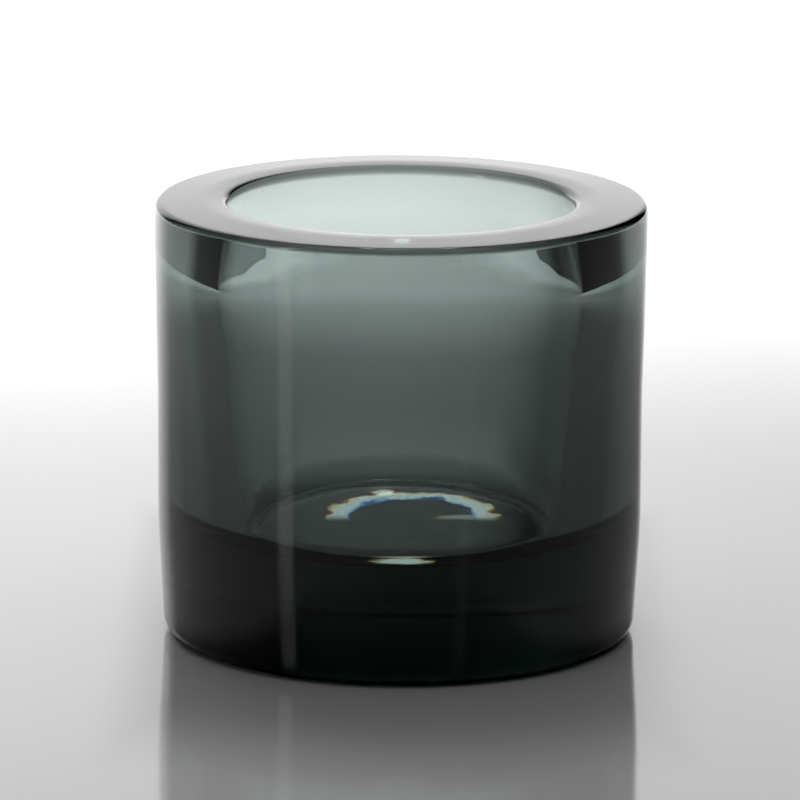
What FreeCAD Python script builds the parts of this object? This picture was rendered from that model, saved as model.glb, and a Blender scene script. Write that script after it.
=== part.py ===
import FreeCAD, Part
import math
import os

# Pressed-glass tealight cup: one piece of thick tinted glass, in millimetres.
# The origin is the middle of the face it stands on, and +Z is up the axis of the cup.

# Driving dimensions: the whole cup and the candle it takes
cup_height = 60.0
rim_diameter = 67.0            # widest place, the softly beaded top of the wall
candle_diameter = 38.0         # a standard tealight in its metal case
floor_thickness = 14.6         # solid glass under the candle

# Driving dimensions: the outside
waist_inset = 0.45             # the plain wall, in from the rim
foot_inset = 0.85              # the foot, in from the plain wall
foot_height = 15.0             # top of the stretch that draws in to the foot
foot_blend_radius = 120.0      # curve between the foot and the plain wall
bead_depth = 26.0              # how far below the top the wall starts to widen
bead_width = 5.0               # height of the widest stretch
bead_blend_radius = 150.0      # curve at both ends of the widening

# Driving dimensions: the rim, whose shares follow the width of the wall at the top
rim_outer_slope = 2.4          # degrees that the domed top falls towards the outside
rim_inner_slope = 3.0          # degrees that the domed top falls towards the mouth
rim_crest_place = 0.34         # the crest, from the mouth outwards, in wall widths
rim_crest_share = 2.6          # rounding over the crest, in wall widths
rim_edge_share = 0.10          # rounding at the outside, in wall widths
mouth_edge_share = 0.12        # rounding into the well, in wall widths

# Driving dimensions: the well
candle_clearance = 0.2         # left all round the base of the candle
candle_edge_rounding = 0.8     # the candle's own rounded edge, which stands over the well's
floor_corner_radius = 3.6      # rounding where the well's wall meets its floor
well_taper = 2.8               # how much the well opens from its floor to its widest place
shoulder_depth = 11.5          # below the top, where the well is widest
shoulder_blend_radius = 45.0   # curve of the widest place
lip_overhang = 1.6             # how much the wall closes in again from there to the mouth

# Driving dimensions: the underside
heel_radius = 2.4              # rounding between the foot and the standing ring
standing_ring_width = 4.3      # from the edge of the hollow to the foot
recess_depth = 0.75            # hollow inside the standing ring
recess_edge_radius = 0.7       # rounding of the hollow's two edges

# Derived radii
rim_radius = rim_diameter / 2
waist_radius = rim_radius - waist_inset
foot_radius = waist_radius - foot_inset
recess_radius = foot_radius - standing_ring_width
candle_radius = candle_diameter / 2
well_floor_radius = candle_radius + candle_clearance + floor_corner_radius - candle_edge_rounding
shoulder_radius = well_floor_radius + well_taper
mouth_radius = shoulder_radius - lip_overhang
wall_width = rim_radius - mouth_radius
crest_radius = mouth_radius + rim_crest_place * wall_width


def rounded_outline(corners):
    """Edges through corners given as (radius, height, rounding), with a tangent arc at each."""
    points = [FreeCAD.Vector(radius, 0, height) for radius, height, _ in corners]
    edges = []
    start = points[0]
    for index in range(1, len(corners) - 1):
        corner = points[index]
        rounding = corners[index][2]
        back = (points[index - 1] - corner).normalize()
        ahead = (points[index + 1] - corner).normalize()
        half_angle = back.getAngle(ahead) / 2
        reach = rounding / math.tan(half_angle)
        inside = (back + ahead).normalize()
        arc_start = corner + back * reach
        arc_middle = corner + inside * (rounding / math.sin(half_angle) - rounding)
        arc_end = corner + ahead * reach
        if (arc_start - start).dot(back) > 0:
            raise ValueError("no room for the rounding at corner %d of the outline" % index)
        edges.append(Part.LineSegment(start, arc_start).toShape())
        edges.append(Part.Arc(arc_start, arc_middle, arc_end).toShape())
        start = arc_end
    edges.append(Part.LineSegment(start, points[-1]).toShape())
    return edges


def cup_corners():
    """Corners of the half section, from the axis under the cup, up the outside and into the well."""
    outer_slope = math.radians(rim_outer_slope)
    inner_slope = math.radians(rim_inner_slope)
    crest_rounding = rim_crest_share * wall_width
    # the two slopes meet a little above the rounded crest, which is the top of the cup
    crest_lean = math.cos((inner_slope - outer_slope) / 2)
    crest_turn = math.cos((inner_slope + outer_slope) / 2)
    crest_height = cup_height + crest_rounding * (crest_lean / crest_turn - 1)
    outer_edge_height = crest_height - (rim_radius - crest_radius) * math.tan(outer_slope)
    mouth_height = crest_height - (crest_radius - mouth_radius) * math.tan(inner_slope)
    return [
        (0, recess_depth, 0),
        (recess_radius, recess_depth, recess_edge_radius),
        (recess_radius + recess_depth, 0, recess_edge_radius),
        (foot_radius, 0, heel_radius),
        (waist_radius, foot_height, foot_blend_radius),
        (waist_radius, cup_height - bead_depth, bead_blend_radius),
        (rim_radius, outer_edge_height - bead_width, bead_blend_radius),
        (rim_radius, outer_edge_height, rim_edge_share * wall_width),
        (crest_radius, crest_height, crest_rounding),
        (mouth_radius, mouth_height, mouth_edge_share * wall_width),
        (shoulder_radius, cup_height - shoulder_depth, shoulder_blend_radius),
        (well_floor_radius, floor_thickness, floor_corner_radius),
        (0, floor_thickness, 0),
    ]


def glass_cup():
    """The cup: its half section turned about the axis."""
    edges = rounded_outline(cup_corners())
    floor_middle = FreeCAD.Vector(0, 0, floor_thickness)
    underside_middle = FreeCAD.Vector(0, 0, recess_depth)
    edges.append(Part.LineSegment(floor_middle, underside_middle).toShape())
    section = Part.Face(Part.Wire(edges))
    cup = section.revolve(FreeCAD.Vector(0, 0, 0), FreeCAD.Vector(0, 0, 1), 360)
    return Part.makeSolid(cup.Shells[0])


def main():
    os.makedirs("parts", exist_ok=True)
    cup = glass_cup()
    print("glass_cup", "valid", cup.isValid(), "volume mm3", round(cup.Volume))
    cup.exportStep("parts/glass_cup.step")


main()
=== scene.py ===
import math
import random

import bpy
from bpy.props import FloatProperty, FloatVectorProperty, IntProperty, PointerProperty
from mathutils import Matrix, Vector


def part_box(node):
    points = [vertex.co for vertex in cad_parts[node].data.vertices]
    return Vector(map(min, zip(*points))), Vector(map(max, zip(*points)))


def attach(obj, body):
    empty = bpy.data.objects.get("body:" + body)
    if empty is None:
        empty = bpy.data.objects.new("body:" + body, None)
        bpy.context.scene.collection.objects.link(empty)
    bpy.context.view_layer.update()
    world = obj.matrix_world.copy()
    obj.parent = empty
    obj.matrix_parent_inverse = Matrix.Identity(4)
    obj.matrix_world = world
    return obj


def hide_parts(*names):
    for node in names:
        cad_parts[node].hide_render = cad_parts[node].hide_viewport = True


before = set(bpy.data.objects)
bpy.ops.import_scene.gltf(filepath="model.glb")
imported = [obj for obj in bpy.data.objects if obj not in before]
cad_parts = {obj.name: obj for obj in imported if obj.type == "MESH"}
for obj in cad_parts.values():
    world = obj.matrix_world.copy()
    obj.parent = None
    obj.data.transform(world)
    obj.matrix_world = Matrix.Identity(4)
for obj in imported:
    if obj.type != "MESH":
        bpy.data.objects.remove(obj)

# A tealight cup pressed from thick tinted glass, standing on a pale glossy table in a small studio.
# Lengths are in metres and the cup stands on z = 0 with its axis up.

bl_info = {
    "name": "Tinted glass tealight cup",
    "version": (1, 0, 0),
    "blender": (4, 5, 0),
    "location": "3D View > Sidebar > Glass Cup",
    "description": "Builds a thick pressed-glass tealight cup with its table, light and camera",
    "category": "Object",
}

MM = 0.001
NODE = "glass_cup"
LOWEST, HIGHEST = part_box(NODE)
CUP_HEIGHT = HIGHEST[2] - LOWEST[2]
RIM_RADIUS = (HIGHEST[0] - LOWEST[0]) / 2

# ---------------------------------------------------------------- the curves of the cup

# the outside
FOOT_BLEND = 120 * MM           # curve between the foot and the plain wall
BEAD_DEPTH = 26 * MM            # how far below the top the wall starts to widen
BEAD_WIDTH = 5 * MM             # height of the widest stretch
BEAD_BLEND = 150 * MM           # curve at both ends of the widening

# the domed rim, whose places and roundings are shares of the width of the wall at the top
OUTER_SLOPE = math.radians(2.4)   # fall of the top towards the outside
INNER_SLOPE = math.radians(3)     # fall of the top towards the mouth
CREST_PLACE = 0.34              # the crest, from the mouth outwards
CREST_SHARE = 2.6               # rounding over the crest
RIM_EDGE_SHARE = 0.10           # rounding at the outside
MOUTH_EDGE_SHARE = 0.12         # rounding into the well

# the well and the underside
SHOULDER_BLEND = 45 * MM        # curve of the widest place of the well
RECESS_EDGE = 0.7 * MM          # rounding of the two edges of the hollow under the cup

# how closely the outline is divided
ARC_STEP = 0.12 * MM            # longest step along a rounding
ARC_TURN = 0.08                 # largest turn in one step of a rounding, in radians
ARC_FEWEST = 4                  # steps that every rounding has
RUN_STEP = 1.5 * MM             # longest step along a straight run

# slow waves in the glass: how many go round the cup, and how many go up it
OUTER_WAVES = ((2, 3, 5, 8), (0.4, 1.1, 2.3))
WELL_WAVES = ((2, 3, 4, 7), (0.5, 1.3, 2.1))
WAVE_GAIN = 2                   # the waves seldom all add up, so half their total is the full height
CALM_HEIGHT = 8 * MM            # the outer waves die away below this, so that the cup stands flat

# ---------------------------------------------------------------- the glass

GLASS_IOR = 1.52
DARKEST_TINT = 0.98             # share of the density that the most absorbed colour takes up
SCUFFED = (0.15 * MM, 0.4 * MM)   # heights between which the scuffed face turns to polished glass
ORANGE_PEEL_SCALE = 150         # fine unevenness, in waves per metre
ORANGE_PEEL_DETAIL = 2

# ---------------------------------------------------------------- painted light on the table
# The table gives off a soft painted light of its own as emission, set by place, in place of lamps
# over it: painted pools of light under, behind and round the cup, painted shade close beside it,
# and painted caustics. Each ramp goes from low (0 if not given) at its start to high at its end.
# X is across, Y points away from the camera, and the axis of the cup is at 0.

# painted light under and behind the cup, along Y, for the glass to show
UNDER_CUP = dict(start=2 * MM, end=30 * MM, high=0.13)
BEHIND_CUP = dict(start=24 * MM, end=38 * MM, high=0.16)
# how far that painted light reaches, by the distance from the axis and by the distance to the side
HIDDEN_REACH = dict(start=60 * MM, end=110 * MM, low=1.0, high=0.0)
HIDDEN_SIDE = dict(start=28 * MM, end=36 * MM, low=1.0, high=0.0)
# painted light round the cup, left out close beside it as painted shade: clear of it by one or the
# other distance, and then along Y, brighter towards the back, and along X, brighter at -X
CLEAR_REACH = dict(start=45 * MM, end=85 * MM)
CLEAR_SIDE = dict(start=29 * MM, end=41 * MM)
AROUND_ALONG = dict(start=-100 * MM, end=220 * MM, low=0.09, high=0.36, curve="LINEAR")
AROUND_ACROSS = dict(start=-50 * MM, end=60 * MM, low=1.0, high=0.5, curve="LINEAR")
# painted light rising towards the back of the table, along Y
FAR_RISE = dict(start=80 * MM, end=380 * MM, high=0.7)
FARTHEST_RISE = dict(start=500 * MM, end=1100 * MM, high=1.0)
# the shine of the table, which the cup takes away under itself, by the distance from the axis
GLOSS = dict(start=27 * MM, end=34 * MM, high=0.5)
TABLE_IOR = 1.5

# Painted caustics: light painted on the table under the cup, where the cup would gather it: a curl
# and three soft spots. Each has its middle, half width, flattening along Y and brightness. The curl
# also has the radius of its curve, and the Y that it stays behind.
PAINTED_CAUSTICS = [
    dict(middle=(2.1 * MM, 16.3 * MM), width=2.2 * MM, flat=1.2, level=8.0, radius=11.8 * MM,
         cut=15.5 * MM),
    dict(middle=(-3.0 * MM, 27.3 * MM), width=2.6 * MM, flat=2.0, level=7.0),
    dict(middle=(9.8 * MM, 16.0 * MM), width=4.8 * MM, flat=3.0, level=3.0),
    dict(middle=(0.5 * MM, -20.0 * MM), width=6.4 * MM, flat=0.8, level=4.5),
]
CAUSTIC_CORE = 0.45             # share of the half width that has the full brightness
CUT_SOFTNESS = 2 * MM           # how far the cut end of the curl fades to each side
CAUSTIC_RIPPLE = 2.5 * MM       # how far noise pushes the painted caustics about, at most, in place of the uneven glass
CAUSTIC_RIPPLE_SCALE = 260
CAUSTIC_RIPPLE_DETAIL = 3
COLOR_FRINGE = (0.2 * MM, 0.0, -0.25 * MM)   # how far red, green and blue of the painted caustics are spread apart

# ---------------------------------------------------------------- light round the table
# Windows with smooth edges, in degrees: the azimuth of the middle from +Y towards +X, the half width,
# the lowest and the highest elevation, and how far each edge fades to both sides. fade gives two
# elevations, and what the brightness is multiplied by at the one and at the other.

STUDIO_WINDOWS = [
    dict(azimuth=-9, half=25.5, soft=9, low=-1, low_soft=1, high=45, high_soft=20, level=1.0,
         fade=(4, 18, 2.1, 1.85)),
    dict(azimuth=-75, half=50, soft=25, low=-1, low_soft=1, high=50, high_soft=30, level=0.07),
    dict(azimuth=75, half=50, soft=25, low=-1, low_soft=1, high=50, high_soft=30, level=0.025),
    dict(azimuth=0, half=180, soft=1, low=55, low_soft=12, high=100, high_soft=1, level=0.8),
    dict(azimuth=-124.4, half=3.7, soft=1.5, low=2, low_soft=2, high=40, high_soft=5, level=2.4),
    dict(azimuth=149.8, half=2.6, soft=1.5, low=2, low_soft=2, high=40, high_soft=5, level=0.3),
    dict(azimuth=180, half=90, soft=40, low=10, low_soft=8, high=60, high_soft=20, level=0.05),
]

# ---------------------------------------------------------------- camera and exposure

SENSOR_WIDTH = 36               # millimetres
NEAR_CLIP = 10 * MM
DEEPEST_BLACK = 0.0045          # light below this shows as black
LIGHT_BOUNCES = 24              # light crosses many faces of thick glass


class CupSizes(bpy.types.PropertyGroup):
    """Sizes of the glass. The height and the width of the rim come from the frame."""

    waist_inset: FloatProperty(
        name="Waist inset", description="Plain wall, in from the rim",
        default=0.45 * MM, subtype="DISTANCE", unit="LENGTH")
    foot_inset: FloatProperty(
        name="Foot inset", description="Foot, in from the plain wall",
        default=0.85 * MM, subtype="DISTANCE", unit="LENGTH")
    foot_height: FloatProperty(
        name="Foot height", description="Top of the stretch that draws in to the foot",
        default=15 * MM, subtype="DISTANCE", unit="LENGTH")
    heel_radius: FloatProperty(
        name="Heel rounding", description="Rounding between the foot and the standing ring",
        default=2.4 * MM, subtype="DISTANCE", unit="LENGTH")
    mouth_radius: FloatProperty(
        name="Mouth radius", description="Opening at the top of the well",
        default=23.2 * MM, subtype="DISTANCE", unit="LENGTH")
    shoulder_radius: FloatProperty(
        name="Shoulder radius", description="The widest place of the well, below its lip",
        default=24.8 * MM, subtype="DISTANCE", unit="LENGTH")
    shoulder_depth: FloatProperty(
        name="Shoulder depth", description="Depth of the widest place below the top",
        default=11.5 * MM, subtype="DISTANCE", unit="LENGTH")
    well_floor_radius: FloatProperty(
        name="Well floor radius", description="The well at its floor, without its rounding",
        default=22.0 * MM, subtype="DISTANCE", unit="LENGTH")
    floor_thickness: FloatProperty(
        name="Floor thickness", description="Solid glass under the candle",
        default=14.6 * MM, subtype="DISTANCE", unit="LENGTH")
    floor_corner_radius: FloatProperty(
        name="Floor corner", description="Rounding where the wall of the well meets its floor",
        default=3.6 * MM, subtype="DISTANCE", unit="LENGTH")
    recess_radius: FloatProperty(
        name="Recess radius", description="Hollow under the cup",
        default=27.9 * MM, subtype="DISTANCE", unit="LENGTH")
    recess_depth: FloatProperty(
        name="Recess depth", description="Depth of the hollow under the cup",
        default=0.75 * MM, subtype="DISTANCE", unit="LENGTH")
    outer_ripple: FloatProperty(
        name="Outer ripple", description="Height of the slow waves that the mould leaves outside",
        default=0.03 * MM, subtype="DISTANCE", unit="LENGTH")
    well_ripple: FloatProperty(
        name="Well ripple", description="Height of the slow waves that the plunger leaves inside",
        default=0.03 * MM, subtype="DISTANCE", unit="LENGTH")
    segments: IntProperty(
        name="Segments", description="Faces round the cup", default=288, min=48, max=1024)
    seed: IntProperty(name="Seed", description="Picks the pattern of the waves", default=7)


class GlassLook(bpy.types.PropertyGroup):
    """How the glass looks."""

    absorption: FloatVectorProperty(
        name="Absorption", description="Red, green and blue light lost per metre of glass",
        default=(107.0, 96.0, 98.5), min=0, max=1000, size=3)
    absorption_level: FloatProperty(
        name="Tint strength", description="Multiplies the absorption", default=1.0, min=0, max=4)
    polished_roughness: FloatProperty(
        name="Polished roughness", description="Roughness of the fire-polished wall",
        default=0.0, min=0, max=1)
    surface_ripple: FloatProperty(
        name="Surface ripple", description="Height of the fine unevenness of the polished glass",
        default=0.008 * MM, subtype="DISTANCE", unit="LENGTH")
    underside_roughness: FloatProperty(
        name="Underside roughness", description="Roughness of the scuffed standing face",
        default=0.25, min=0, max=1)


class StudioLook(bpy.types.PropertyGroup):
    """Table, light and camera."""

    table_color: FloatVectorProperty(
        name="Table colour", description="Colour of the table", subtype="COLOR",
        default=(0.55, 0.55, 0.55), min=0, max=1, size=3)
    table_roughness: FloatProperty(
        name="Table roughness", description="Gloss of the table", default=0.08, min=0, max=1)
    table_size: FloatProperty(
        name="Table size", description="Side of the square table",
        default=8.0, subtype="DISTANCE", unit="LENGTH")
    light_level: FloatProperty(
        name="Light level", description="Brightness of the whole studio", default=1.0, min=0)
    camera_distance: FloatProperty(
        name="Camera distance", description="Camera in front of the axis of the cup",
        default=0.8, subtype="DISTANCE", unit="LENGTH")
    camera_height: FloatProperty(
        name="Camera height", description="Camera above the table",
        default=0.2172, subtype="DISTANCE", unit="LENGTH")
    camera_pitch: FloatProperty(
        name="Camera pitch", description="How far the camera looks down",
        default=math.radians(13.041), subtype="ANGLE", unit="ROTATION")
    camera_roll: FloatProperty(
        name="Camera roll", description="How far the camera leans to its side",
        default=math.radians(-0.372), subtype="ANGLE", unit="ROTATION")
    camera_lens: FloatProperty(
        name="Camera lens", description="Focal length in millimetres on a 36 mm sensor",
        default=270.7, min=10, max=1000)


# ---------------------------------------------------------------- the shape of the glass

def rounded_outline(corners, longest_step):
    """Points (radius, height) through corners (radius, height, rounding), an arc at each corner."""
    outline = [Vector(corners[0][:2])]
    for before, corner, after in zip(corners, corners[1:], corners[2:]):
        middle = Vector(corner[:2])
        rounding = corner[2]
        back = (Vector(before[:2]) - middle).normalized()
        ahead = (Vector(after[:2]) - middle).normalized()
        half_angle = back.angle(ahead) / 2
        reach = rounding / math.tan(half_angle)
        centre = middle + (back + ahead).normalized() * (rounding / math.sin(half_angle))
        first = middle + back * reach - centre
        turn = math.pi - 2 * half_angle
        if first.cross(middle + ahead * reach - centre) < 0:
            turn = -turn
        steps = max(ARC_FEWEST, math.ceil(abs(turn) * rounding / longest_step),
                    math.ceil(abs(turn) / ARC_TURN))
        for step in range(steps + 1):
            outline.append(centre + Matrix.Rotation(turn * step / steps, 2) @ first)
    outline.append(Vector(corners[-1][:2]))
    return outline


def with_even_steps(outline, longest_step):
    """The same outline, with its straight runs divided."""
    even = [outline[0]]
    for point in outline[1:]:
        run = point - even[-1]
        steps = max(1, math.ceil(run.length / longest_step))
        start = even[-1]
        even.extend(start + run * (step / steps) for step in range(1, steps + 1))
    return even


def cup_corners(sizes):
    """Corners of the half section, from the axis under the cup, up the outside and into the well."""
    waist_radius = RIM_RADIUS - sizes.waist_inset
    foot_radius = waist_radius - sizes.foot_inset
    wall_width = RIM_RADIUS - sizes.mouth_radius
    crest_radius = sizes.mouth_radius + CREST_PLACE * wall_width
    crest_rounding = CREST_SHARE * wall_width
    # the two slopes meet a little above the rounded crest, which is the top of the cup
    crest_lean = math.cos((INNER_SLOPE - OUTER_SLOPE) / 2)
    crest_turn = math.cos((INNER_SLOPE + OUTER_SLOPE) / 2)
    crest_height = CUP_HEIGHT + crest_rounding * (crest_lean / crest_turn - 1)
    edge_height = crest_height - (RIM_RADIUS - crest_radius) * math.tan(OUTER_SLOPE)
    mouth_height = crest_height - (crest_radius - sizes.mouth_radius) * math.tan(INNER_SLOPE)
    return [
        (0, sizes.recess_depth, 0),
        (sizes.recess_radius, sizes.recess_depth, RECESS_EDGE),
        (sizes.recess_radius + sizes.recess_depth, 0, RECESS_EDGE),
        (foot_radius, 0, sizes.heel_radius),
        (waist_radius, sizes.foot_height, FOOT_BLEND),
        (waist_radius, CUP_HEIGHT - BEAD_DEPTH, BEAD_BLEND),
        (RIM_RADIUS, edge_height - BEAD_WIDTH, BEAD_BLEND),
        (RIM_RADIUS, edge_height, RIM_EDGE_SHARE * wall_width),
        (crest_radius, crest_height, crest_rounding),
        (sizes.mouth_radius, mouth_height, MOUTH_EDGE_SHARE * wall_width),
        (sizes.shoulder_radius, CUP_HEIGHT - sizes.shoulder_depth, SHOULDER_BLEND),
        (sizes.well_floor_radius, sizes.floor_thickness, sizes.floor_corner_radius),
        (0, sizes.floor_thickness, 0),
    ]


def slow_waves(seed, waves_round, waves_up):
    """A smooth function of the angle and the height, between about -1 and 1."""
    draw = random.Random(seed)
    waves = []
    for turns in waves_round:
        for rises in waves_up:
            waves.append((turns, rises * math.tau / CUP_HEIGHT, draw.uniform(0, math.tau),
                          draw.uniform(0.5, 1.0)))
    total = sum(weight for *_, weight in waves)

    def height_of(angle, height):
        return sum(weight * math.sin(turns * angle + rises * height + phase)
                   for turns, rises, phase, weight in waves) / total * WAVE_GAIN

    return height_of


def lathe(name, outline, segments, push):
    """A closed mesh: the outline turned about the axis, pushed out by push(angle, radius, height)."""
    vertices = [(0, 0, outline[0].y)]
    for radius, height in outline[1:-1]:
        for segment in range(segments):
            angle = math.tau * segment / segments
            out = radius + push(angle, radius, height)
            vertices.append((out * math.cos(angle), out * math.sin(angle), height))
    vertices.append((0, 0, outline[-1].y))
    rings = len(outline) - 2
    faces = []
    for segment in range(segments):
        ahead = (segment + 1) % segments
        faces.append((0, 1 + ahead, 1 + segment))
        for ring in range(rings - 1):
            low = 1 + ring * segments
            high = low + segments
            faces.append((low + segment, low + ahead, high + ahead, high + segment))
        top = 1 + (rings - 1) * segments
        faces.append((len(vertices) - 1, top + segment, top + ahead))
    mesh = bpy.data.meshes.new(name)
    mesh.from_pydata(vertices, [], faces)
    mesh.shade_smooth()
    return mesh


# ---------------------------------------------------------------- materials and light

class Nodes:
    """Short calls for putting nodes into a node tree."""

    def __init__(self, tree):
        self.tree = tree

    def add(self, kind, **settings):
        """A new node with its settings."""
        node = self.tree.nodes.new(kind)
        for name, value in settings.items():
            setattr(node, name, value)
        return node

    def feed(self, socket, value):
        """Links value to the socket if it is an output, and otherwise sets it."""
        if isinstance(value, bpy.types.NodeSocket):
            self.tree.links.new(value, socket)
        else:
            socket.default_value = value

    def math(self, operation, *values):
        """The output of a Math node."""
        node = self.add("ShaderNodeMath", operation=operation)
        for socket, value in zip(node.inputs, values):
            self.feed(socket, value)
        return node.outputs[0]

    def ramp(self, value, start, end, low=0.0, high=1.0, curve="SMOOTHSTEP"):
        """value, taken from start..end to low..high and held beyond them."""
        node = self.add("ShaderNodeMapRange", interpolation_type=curve)
        for socket, number in zip(node.inputs, (value, start, end, low, high)):
            self.feed(socket, number)
        return node.outputs[0]

    def edge(self, value, place, softness, low=0.0, high=1.0):
        """A soft step from low to high where value passes place."""
        return self.ramp(value, place - softness, place + softness, low, high)


def tinted_glass(look):
    """Clear glass that takes its colour from its depth, scuffed only where it stands."""
    material = bpy.data.materials.new("tinted_glass")
    material.use_nodes = True
    nodes = Nodes(material.node_tree)
    surface = material.node_tree.nodes["Principled BSDF"]
    surface.inputs["Base Color"].default_value = (1, 1, 1, 1)
    surface.inputs["Metallic"].default_value = 0
    surface.inputs["Transmission Weight"].default_value = 1
    surface.inputs["IOR"].default_value = GLASS_IOR
    place = nodes.add("ShaderNodeTexCoord").outputs["Object"]
    height = nodes.add("ShaderNodeSeparateXYZ")
    nodes.feed(height.inputs[0], place)
    scuffed = nodes.ramp(height.outputs["Z"], *SCUFFED, look.underside_roughness,
                         look.polished_roughness)
    nodes.feed(surface.inputs["Roughness"], scuffed)
    orange_peel = nodes.add("ShaderNodeTexNoise")
    nodes.feed(orange_peel.inputs["Vector"], place)
    orange_peel.inputs["Scale"].default_value = ORANGE_PEEL_SCALE
    orange_peel.inputs["Detail"].default_value = ORANGE_PEEL_DETAIL
    bump = nodes.add("ShaderNodeBump")
    bump.inputs["Strength"].default_value = 1
    bump.inputs["Distance"].default_value = look.surface_ripple
    nodes.feed(bump.inputs["Height"], orange_peel.outputs[0])
    nodes.feed(surface.inputs["Normal"], bump.outputs[0])
    depth = nodes.add("ShaderNodeVolumeAbsorption")
    lost = [per_metre * look.absorption_level for per_metre in look.absorption]
    density = max(lost) / DARKEST_TINT
    depth.inputs["Density"].default_value = density
    depth.inputs["Color"].default_value = [1 - per_metre / density for per_metre in lost] + [1]
    output = material.node_tree.nodes["Material Output"]
    material.node_tree.links.new(depth.outputs[0], output.inputs["Volume"])
    return material


def painted_caustic(nodes, along, shift, spread, middle, width, flat, level, radius=0.0, cut=-1.0):
    """Painted light of one caustic: a soft band along a circle, or a spot when the radius is 0."""
    across = nodes.math("SUBTRACT", along.outputs["X"], middle[0])
    behind = nodes.math("MULTIPLY", nodes.math("SUBTRACT", along.outputs["Y"], middle[1]), flat)
    behind_squared = nodes.math("MULTIPLY", behind, behind)
    reach = nodes.math("SQRT", nodes.math("MULTIPLY_ADD", across, across, behind_squared))
    aside = nodes.math("SUBTRACT", reach, radius + spread)
    off = nodes.math("ABSOLUTE", nodes.math("ADD", aside, shift))
    band = nodes.ramp(off, width * CAUSTIC_CORE, width, level, 0.0)
    return nodes.math("MULTIPLY", band, nodes.edge(along.outputs["Y"], cut, CUT_SOFTNESS))


def painted_table_light(nodes, along, distance):
    """Painted light and painted shade of the table, set by place, without the painted caustics."""
    beside = nodes.math("ABSOLUTE", along.outputs["X"])
    ahead = along.outputs["Y"]
    near_cup = nodes.math("MULTIPLY", nodes.ramp(distance, **HIDDEN_REACH),
                          nodes.ramp(beside, **HIDDEN_SIDE))
    hidden = nodes.math("ADD", nodes.ramp(ahead, **UNDER_CUP), nodes.ramp(ahead, **BEHIND_CUP))
    hidden = nodes.math("MULTIPLY", hidden, near_cup)
    clear_of_cup = nodes.math("MAXIMUM", nodes.ramp(distance, **CLEAR_REACH),
                              nodes.ramp(beside, **CLEAR_SIDE))
    around = nodes.math("MULTIPLY", clear_of_cup, nodes.ramp(ahead, **AROUND_ALONG))
    around = nodes.math("MULTIPLY", around, nodes.ramp(along.outputs["X"], **AROUND_ACROSS))
    far = nodes.math("ADD", nodes.ramp(ahead, **FAR_RISE), nodes.ramp(ahead, **FARTHEST_RISE))
    return nodes.math("ADD", hidden, nodes.math("ADD", around, far))


def glossy_table(look):
    """A pale glossy table top that catches the light of the wall behind it, and gives off painted
    light and painted caustics as emission.
    """
    material = bpy.data.materials.new("glossy_table")
    material.use_nodes = True
    nodes = Nodes(material.node_tree)
    surface = material.node_tree.nodes["Principled BSDF"]
    surface.inputs["Base Color"].default_value = (*look.table_color, 1)
    surface.inputs["Roughness"].default_value = look.table_roughness
    surface.inputs["IOR"].default_value = TABLE_IOR
    place = nodes.add("ShaderNodeTexCoord").outputs["Object"]
    along = nodes.add("ShaderNodeSeparateXYZ")
    nodes.feed(along.inputs[0], place)
    away = nodes.add("ShaderNodeVectorMath", operation="LENGTH")
    nodes.feed(away.inputs[0], place)
    distance = away.outputs["Value"]
    nodes.feed(surface.inputs["Specular IOR Level"], nodes.ramp(distance, **GLOSS))
    # painted light and painted shade of the table, set by place
    glow = painted_table_light(nodes, along, distance)
    ripple = nodes.add("ShaderNodeTexNoise", noise_dimensions="2D")
    nodes.feed(ripple.inputs["Vector"], place)
    ripple.inputs["Scale"].default_value = CAUSTIC_RIPPLE_SCALE
    ripple.inputs["Detail"].default_value = CAUSTIC_RIPPLE_DETAIL
    shift = nodes.math("MULTIPLY_ADD", ripple.outputs[0], 2 * CAUSTIC_RIPPLE, -CAUSTIC_RIPPLE)
    color = nodes.add("ShaderNodeCombineColor")
    for channel, spread in enumerate(COLOR_FRINGE):
        light = glow
        # each colour gets the painted light of the table and the painted caustics
        for caustic in PAINTED_CAUSTICS:
            light = nodes.math("ADD", light, painted_caustic(nodes, along, shift, spread, **caustic))
        nodes.feed(color.inputs[channel], light)
    # the painted light and painted caustics go out as the table's emission
    nodes.feed(surface.inputs["Emission Color"], color.outputs[0])
    surface.inputs["Emission Strength"].default_value = look.light_level
    return material


def studio_world(look):
    """Soft light from large lit areas round the table, as a sky of smooth-edged windows."""
    world = bpy.data.worlds.new("studio")
    world.use_nodes = True
    world.node_tree.nodes.clear()
    nodes = Nodes(world.node_tree)
    split = nodes.add("ShaderNodeSeparateXYZ")
    nodes.feed(split.inputs[0], nodes.add("ShaderNodeTexCoord").outputs["Generated"])
    azimuth = nodes.math("DEGREES", nodes.math("ARCTAN2", split.outputs["X"], split.outputs["Y"]))
    elevation = nodes.math("DEGREES", nodes.math("ARCSINE", split.outputs["Z"]))
    light = 0.0
    for window in STUDIO_WINDOWS:
        turned = nodes.math("SUBTRACT", azimuth, window["azimuth"])
        away = nodes.math("ABSOLUTE", nodes.math("WRAP", turned, 180.0, -180.0))
        across = nodes.edge(away, window["half"], window["soft"], 1.0, 0.0)
        above = nodes.edge(elevation, window["low"], window["low_soft"])
        below = nodes.edge(elevation, window["high"], window["high_soft"], 1.0, 0.0)
        glow = nodes.math("MULTIPLY", nodes.math("MULTIPLY", above, below), across)
        if "fade" in window:
            glow = nodes.math("MULTIPLY", glow, nodes.ramp(elevation, *window["fade"], "LINEAR"))
        light = nodes.math("MULTIPLY_ADD", glow, window["level"], light)
    background = nodes.add("ShaderNodeBackground")
    nodes.feed(background.inputs["Strength"], nodes.math("MULTIPLY", light, look.light_level))
    output = nodes.add("ShaderNodeOutputWorld")
    nodes.feed(output.inputs["Surface"], background.outputs[0])
    return world


# ---------------------------------------------------------------- operators

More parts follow.
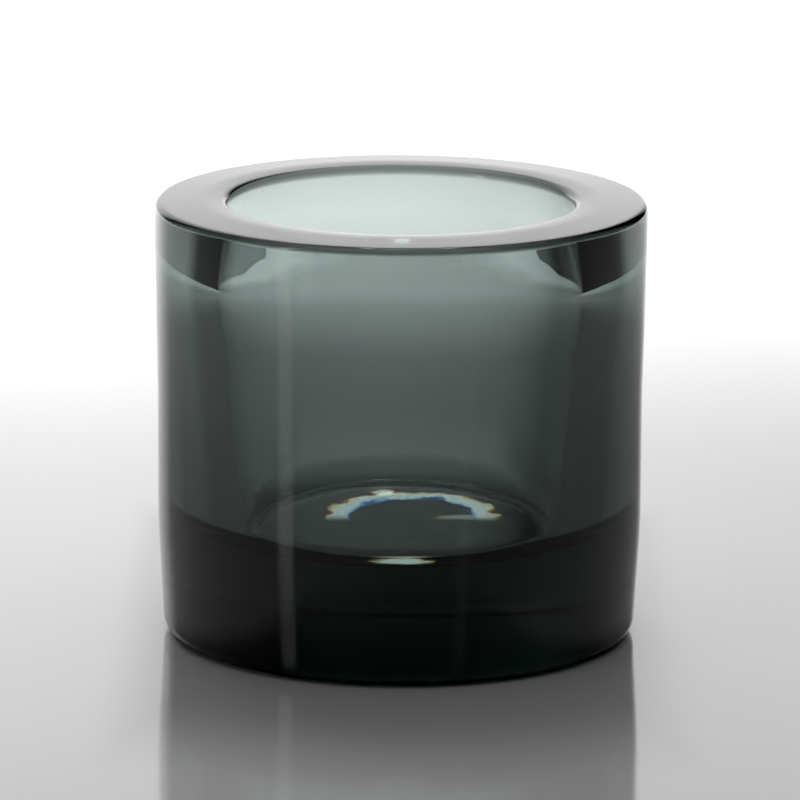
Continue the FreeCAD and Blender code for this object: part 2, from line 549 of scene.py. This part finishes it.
class OBJECT_OT_glass_cup(bpy.types.Operator):
    """Build the glass cup"""

    bl_idname = "object.glass_cup_glass"
    bl_label = "Glass Cup"
    bl_options = {"REGISTER", "UNDO"}

    def execute(self, context):
        sizes = context.scene.cup_sizes
        outline = with_even_steps(rounded_outline(cup_corners(sizes), ARC_STEP), RUN_STEP)
        outside = slow_waves(sizes.seed, *OUTER_WAVES)
        inside = slow_waves(sizes.seed + 1, *WELL_WAVES)
        wall_middle = (RIM_RADIUS + sizes.mouth_radius) / 2

        def push(angle, radius, height):
            """The waves outside and in the well. The hollow under the cup has none."""
            calm = min(1.0, height / CALM_HEIGHT)
            if radius > wall_middle:
                return sizes.outer_ripple * calm * outside(angle, height)
            if height > sizes.floor_thickness / 2:
                return sizes.well_ripple * inside(angle, height) * radius / wall_middle
            return 0.0

        mesh = lathe("thick_glass_cup", outline, sizes.segments, push)
        cup = bpy.data.objects.new("thick_glass_cup", mesh)
        cup.data.materials.append(tinted_glass(context.scene.glass_look))
        context.collection.objects.link(cup)
        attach(cup, "root")
        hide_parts(NODE)
        return {"FINISHED"}


class SCENE_OT_studio(bpy.types.Operator):
    """Set up the table, the light and the camera"""

    bl_idname = "scene.glass_cup_studio"
    bl_label = "Studio"
    bl_options = {"REGISTER", "UNDO"}

    def execute(self, context):
        look = context.scene.studio_look
        half = look.table_size / 2
        mesh = bpy.data.meshes.new("table")
        mesh.from_pydata([(-half, -half, 0), (half, -half, 0), (half, half, 0), (-half, half, 0)],
                         [], [(0, 1, 2, 3)])
        mesh.materials.append(glossy_table(look))
        table = bpy.data.objects.new("table", mesh)
        context.collection.objects.link(table)
        context.scene.world = studio_world(look)
        self.place_camera(context, look)
        view = context.scene.view_settings
        view.view_transform = "Standard"
        view.use_curve_mapping = True
        view.curve_mapping.black_level = [DEEPEST_BLACK] * 3
        view.curve_mapping.update()
        cycles = context.scene.cycles
        cycles.max_bounces = LIGHT_BOUNCES
        cycles.transmission_bounces = LIGHT_BOUNCES
        cycles.glossy_bounces = LIGHT_BOUNCES
        return {"FINISHED"}

    def place_camera(self, context, look):
        """The camera looks down at the cup and leans a little."""
        camera = bpy.data.objects.new("camera", bpy.data.cameras.new("camera"))
        context.collection.objects.link(camera)
        camera.data.sensor_width = SENSOR_WIDTH
        camera.data.lens = look.camera_lens
        camera.data.clip_start = NEAR_CLIP
        forward = Vector((0, math.cos(look.camera_pitch), -math.sin(look.camera_pitch)))
        right = Matrix.Rotation(look.camera_roll, 3, forward) @ Vector((1, 0, 0))
        place = Matrix.Translation((0, -look.camera_distance, look.camera_height))
        turn = Matrix((right, right.cross(forward), -forward)).transposed().to_4x4()
        camera.matrix_world = place @ turn
        context.scene.camera = camera


class VIEW3D_PT_glass_cup(bpy.types.Panel):
    """Lists the pieces of the cup and their sizes"""

    bl_label = "Glass Cup"
    bl_idname = "VIEW3D_PT_glass_cup"
    bl_space_type = "VIEW_3D"
    bl_region_type = "UI"
    bl_category = "Glass Cup"

    def draw(self, context):
        for operator, settings in PIECES:
            box = self.layout.box()
            box.operator(operator.bl_idname)
            for name in settings:
                group = getattr(context.scene, name)
                for key in group.bl_rna.properties.keys():
                    if key not in ("rna_type", "name"):
                        box.prop(group, key)


PIECES = (
    (OBJECT_OT_glass_cup, ("cup_sizes", "glass_look")),
    (SCENE_OT_studio, ("studio_look",)),
)
CLASSES = (CupSizes, GlassLook, StudioLook, OBJECT_OT_glass_cup, SCENE_OT_studio,
           VIEW3D_PT_glass_cup)


def register():
    """Makes the sizes, the operators and the panel known to Blender."""
    for cls in CLASSES:
        bpy.utils.register_class(cls)
    bpy.types.Scene.cup_sizes = PointerProperty(type=CupSizes)
    bpy.types.Scene.glass_look = PointerProperty(type=GlassLook)
    bpy.types.Scene.studio_look = PointerProperty(type=StudioLook)


def unregister():
    """Undoes register."""
    del bpy.types.Scene.studio_look
    del bpy.types.Scene.glass_look
    del bpy.types.Scene.cup_sizes
    for cls in reversed(CLASSES):
        bpy.utils.unregister_class(cls)


def main():
    """Builds the scene."""
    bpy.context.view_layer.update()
    register()
    bpy.ops.object.glass_cup_glass()
    bpy.ops.scene.glass_cup_studio()


if __name__ == "__main__":
    main()
